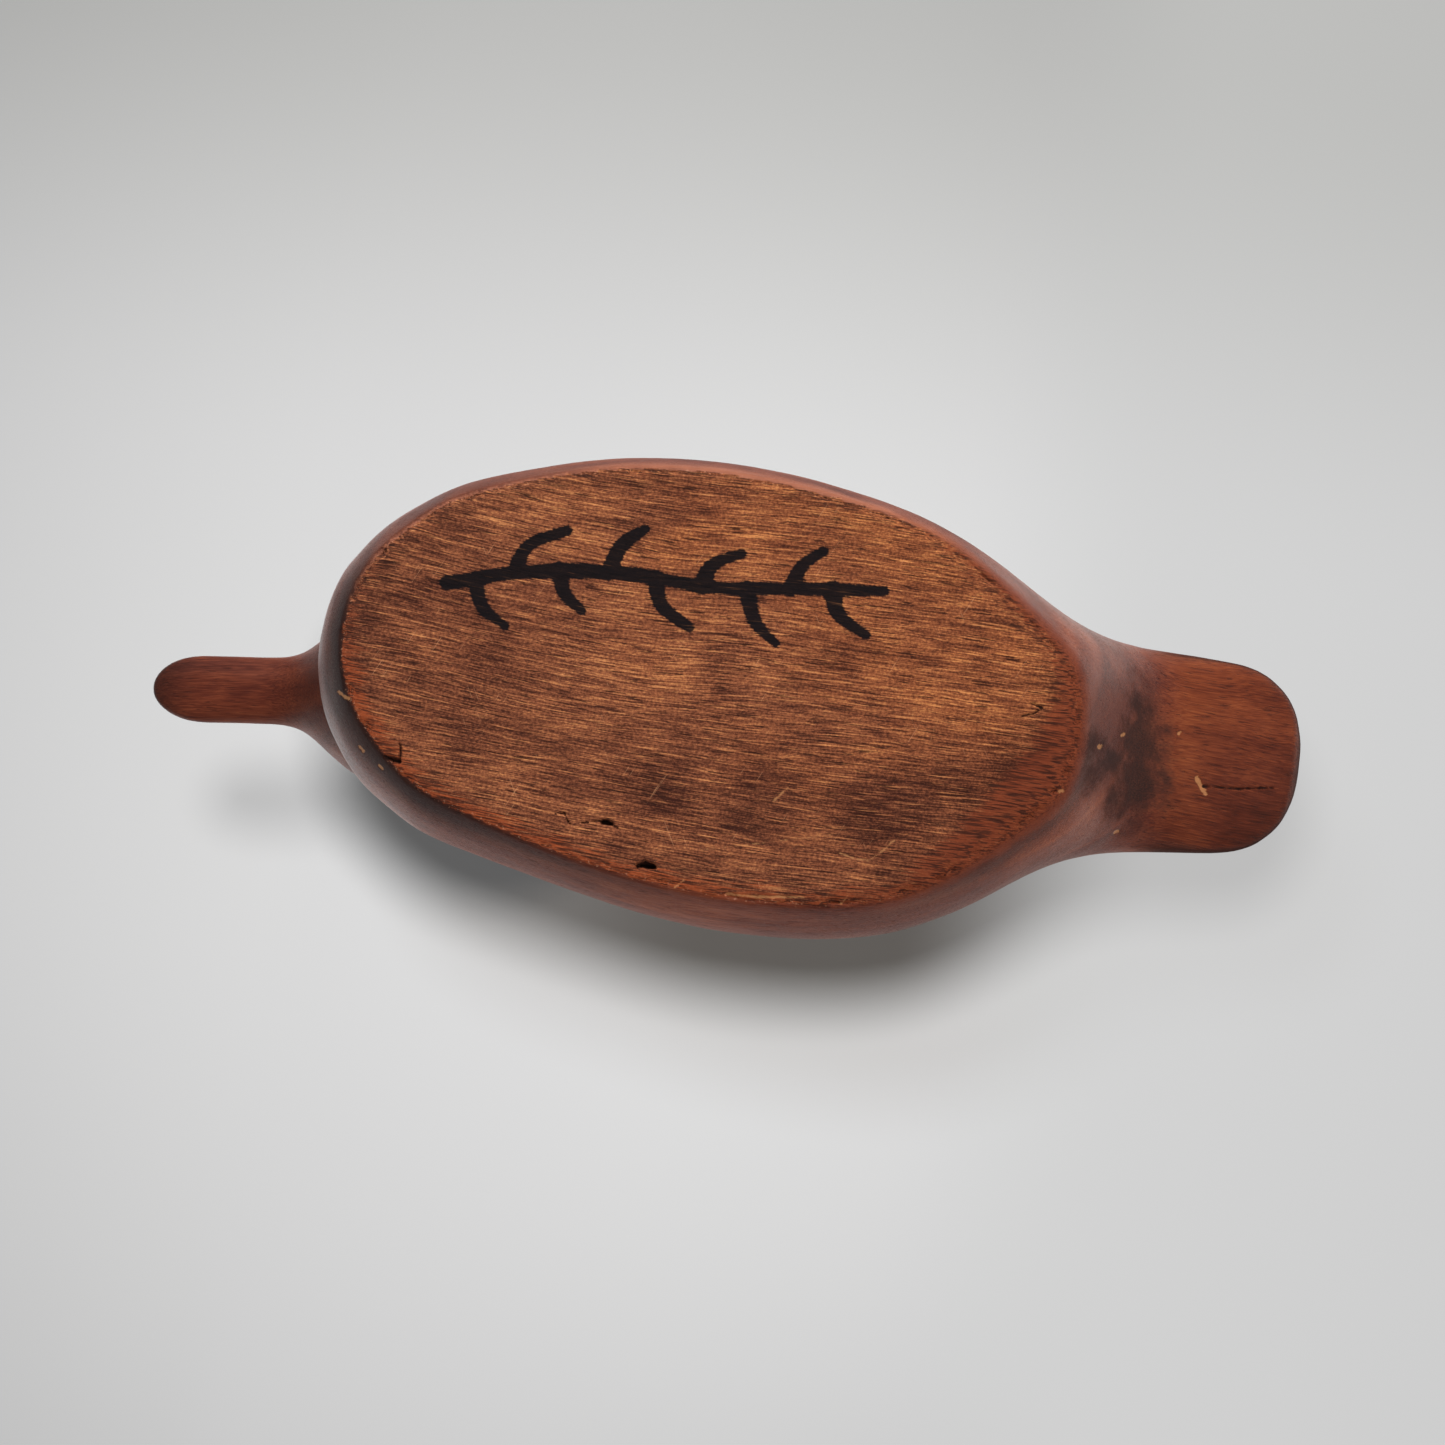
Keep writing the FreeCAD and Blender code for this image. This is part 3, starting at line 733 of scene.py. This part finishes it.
def stage_plane(name, corners, height, facing_up, material):
    """A flat stage surface that throws no shadow or light onto the duck."""
    order = corners if facing_up else corners[::-1]
    mesh = bpy.data.meshes.new(name)
    mesh.from_pydata([(x, y, height) for x, y in order], [], [(0, 1, 2, 3)])
    mesh.materials.append(material)
    plane = bpy.data.objects.new(name, mesh)
    bpy.context.scene.collection.objects.link(plane)
    plane.visible_shadow = plane.visible_diffuse = plane.visible_glossy = plane.visible_transmission = False
    plane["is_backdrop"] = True
    return plane


FLOOR_CORNERS = [(-15, -15), (15, -15), (15, 15), (-15, 15)]
SWEEP_HEIGHT = 0.2195
SWEEP_GLOW = 5.05
SWEEP_CORNERS = [(0.174, -0.202), (0.219, 0.158), (-0.131, 0.190), (-0.174, -0.147)]
floor_matt = one_sided("floor_matt", (226, 225, 223), (224, 223, 221))
# The sweep's darker colour towards +X is painted shade, standing in for the light falling off towards the
# top of the backdrop
sweep_matt = one_sided("sweep_matt", (100, 100, 100), (92, 92, 91), SWEEP_GLOW)
floor = stage_plane("floor", FLOOR_CORNERS, 0.0, True, floor_matt)
sweep = stage_plane("sweep", SWEEP_CORNERS, SWEEP_HEIGHT, False, sweep_matt)

CAMERA_AT = Vector((-29.425, 6.332, -263.379)) * MM
CAMERA_RIGHT = Vector((0.12360, 0.99233, 0.0))
CAMERA_UP = Vector((0.98793, -0.12305, -0.09411))
CAMERA_BACK = CAMERA_RIGHT.cross(CAMERA_UP).normalized()
CAMERA_LENS = 52.32


def object_group(name, members):
    group = bpy.data.collections.new(name)
    for piece in members:
        group.objects.link(piece)
    return group


def area_light(name, place, towards, size, watts, receivers, colour=(1, 1, 1)):
    """A round soft lamp that only lights the receivers and isn't itself seen."""
    data = bpy.data.lights.new(name, "AREA")
    data.shape, data.size, data.energy, data.color = "DISK", size, watts, colour
    light = bpy.data.objects.new(name, data)
    bpy.context.scene.collection.objects.link(light)
    light.location = place
    light.rotation_mode = "QUATERNION"
    light.rotation_quaternion = (Vector(towards) - Vector(place)).to_track_quat("-Z", "Y")
    light.visible_camera = False
    light.light_linking.receiver_collection = object_group(name + "_lit", receivers)
    return light


duck = list(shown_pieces())


def shadow_lamp(name, to_right, to_up, size, watts, casters, colour=(1, 1, 1)):
    """A lamp beside the camera that only lights the sweep; only the casters throw a shadow there."""
    place = CAMERA_AT + (CAMERA_RIGHT * to_right + CAMERA_UP * to_up) * MM
    lamp = area_light(name, place, place - CAMERA_BACK, size * MM, watts, [sweep], colour)
    lamp.light_linking.blocker_collection = object_group(name + "_casters", casters)


shadow_lamp("body_shadow_lamp", -2, 21, 26, 9.7, [body])
shadow_lamp("head_shadow_lamp", -24, 50, 26, 1.5, [head], (1.0, 0.88, 0.77))
shadow_lamp("long_shadow_lamp", -24, 50, 30, 2.35, [head, body], (0.853, 0.93, 1.0))
area_light("tail_sheen", (0.13, 0.50, 0.56), (0, 0.05, 0.015), 0.80, 2.0, duck, (1.0, 0.92, 0.86))
area_light("flank_sheen", (-0.45, -0.42, 0.50), (0, 0, 0.03), 0.50, 0.52, duck)
area_light("over_key", (0.10, -0.72, 1.00), (0, 0, 0.03), 1.2, 3.2, duck)
# Soft lamps that don't show in the gloss: name, place, target, size and watts
DULL_LAMPS = [
    ("under_key", (0.46, -0.08, -0.24), (0, 0, 0.015), 0.80, 5.2),
    ("under_rear", (0.02, 0.52, -0.30), (0, 0.04, 0.015), 0.30, 1.3),
    ("under_fill", (-0.34, -0.20, -0.30), (0, 0, 0.015), 0.40, 0.5),
    ("over_fill", (0.45, 0.10, 0.85), (0, 0, 0.03), 0.60, 3.6),
    ("side_fill", (-0.75, 0.20, 0.40), (0, 0, 0.03), 0.70, 2.4),
]
for name, place, towards, size, watts in DULL_LAMPS:
    area_light(name, place, towards, size, watts, duck).visible_glossy = False

# Even light on the floor, out to the horizon
SUN_STRENGTH, SUN_ANGLE = 1.4, 0.7
SUN_DIRECTION = Vector((-0.35, 0.45, -1.0))
sun = bpy.data.objects.new("floor_sun", bpy.data.lights.new("floor_sun", "SUN"))
sun.data.energy, sun.data.angle = SUN_STRENGTH, SUN_ANGLE
sun.rotation_mode = "QUATERNION"
sun.rotation_quaternion = SUN_DIRECTION.to_track_quat("-Z", "Y")
bpy.context.scene.collection.objects.link(sun)
sun.light_linking.receiver_collection = object_group("floor_sun_lit", [floor])

# A pale backdrop is seen behind the floor; the duck is lit by a dimmer sky
BACKDROP_STRENGTH = 0.62
world = bpy.data.worlds.new("studio")
world.use_nodes = True
sky = world.node_tree


def sky_node(kind, links=(), values=(), **settings):
    """A node of the world's tree; links and values are given by input socket."""
    made = sky.nodes.new("ShaderNode" + kind)
    for key, value in settings.items():
        setattr(made, key, value)
    for socket, value in dict(values).items():
        made.inputs[socket].default_value = value
    for socket, source in dict(links).items():
        sky.links.new(source, made.inputs[socket])
    return made


direction = sky_node("SeparateXYZ", {0: sky_node("TexCoord").outputs["Generated"]})
# Brighter from above
upward = sky_node("MapRange", {0: direction.outputs[2]}, {1: -0.15, 2: 0.45, 3: 0.34, 4: 0.44},
                  interpolation_type="SMOOTHSTEP")
# Less light from the -X side
sideways = sky_node("MapRange", {0: direction.outputs[0]}, {1: -1.0, 2: 0.6, 3: 0.85, 4: 1.08})
light_strength = sky_node("Math", {0: upward.outputs[0], 1: sideways.outputs[0]}, operation="MULTIPLY")
is_camera_ray = sky_node("LightPath").outputs["Is Camera Ray"]
strength = sky_node("Mix", {0: is_camera_ray, 2: light_strength.outputs[0]}, {3: BACKDROP_STRENGTH})
background = sky.nodes["Background"]
sky.links.new(strength.outputs[0], background.inputs["Strength"])
background.inputs["Color"].default_value = (1.0, 1.0, 0.99, 1)
bpy.context.scene.world = world

camera = bpy.data.objects.new("camera", bpy.data.cameras.new("camera"))
camera.data.sensor_width = 36.0
camera.data.lens = CAMERA_LENS
camera.data.clip_start, camera.data.clip_end = 0.01, 60.0
camera_turn = Matrix((CAMERA_RIGHT, CAMERA_UP, CAMERA_BACK)).transposed()
camera.matrix_world = Matrix.Translation(CAMERA_AT) @ camera_turn.to_4x4()
bpy.context.scene.collection.objects.link(camera)
bpy.context.scene.camera = camera
bpy.context.scene.view_settings.view_transform = "Standard"
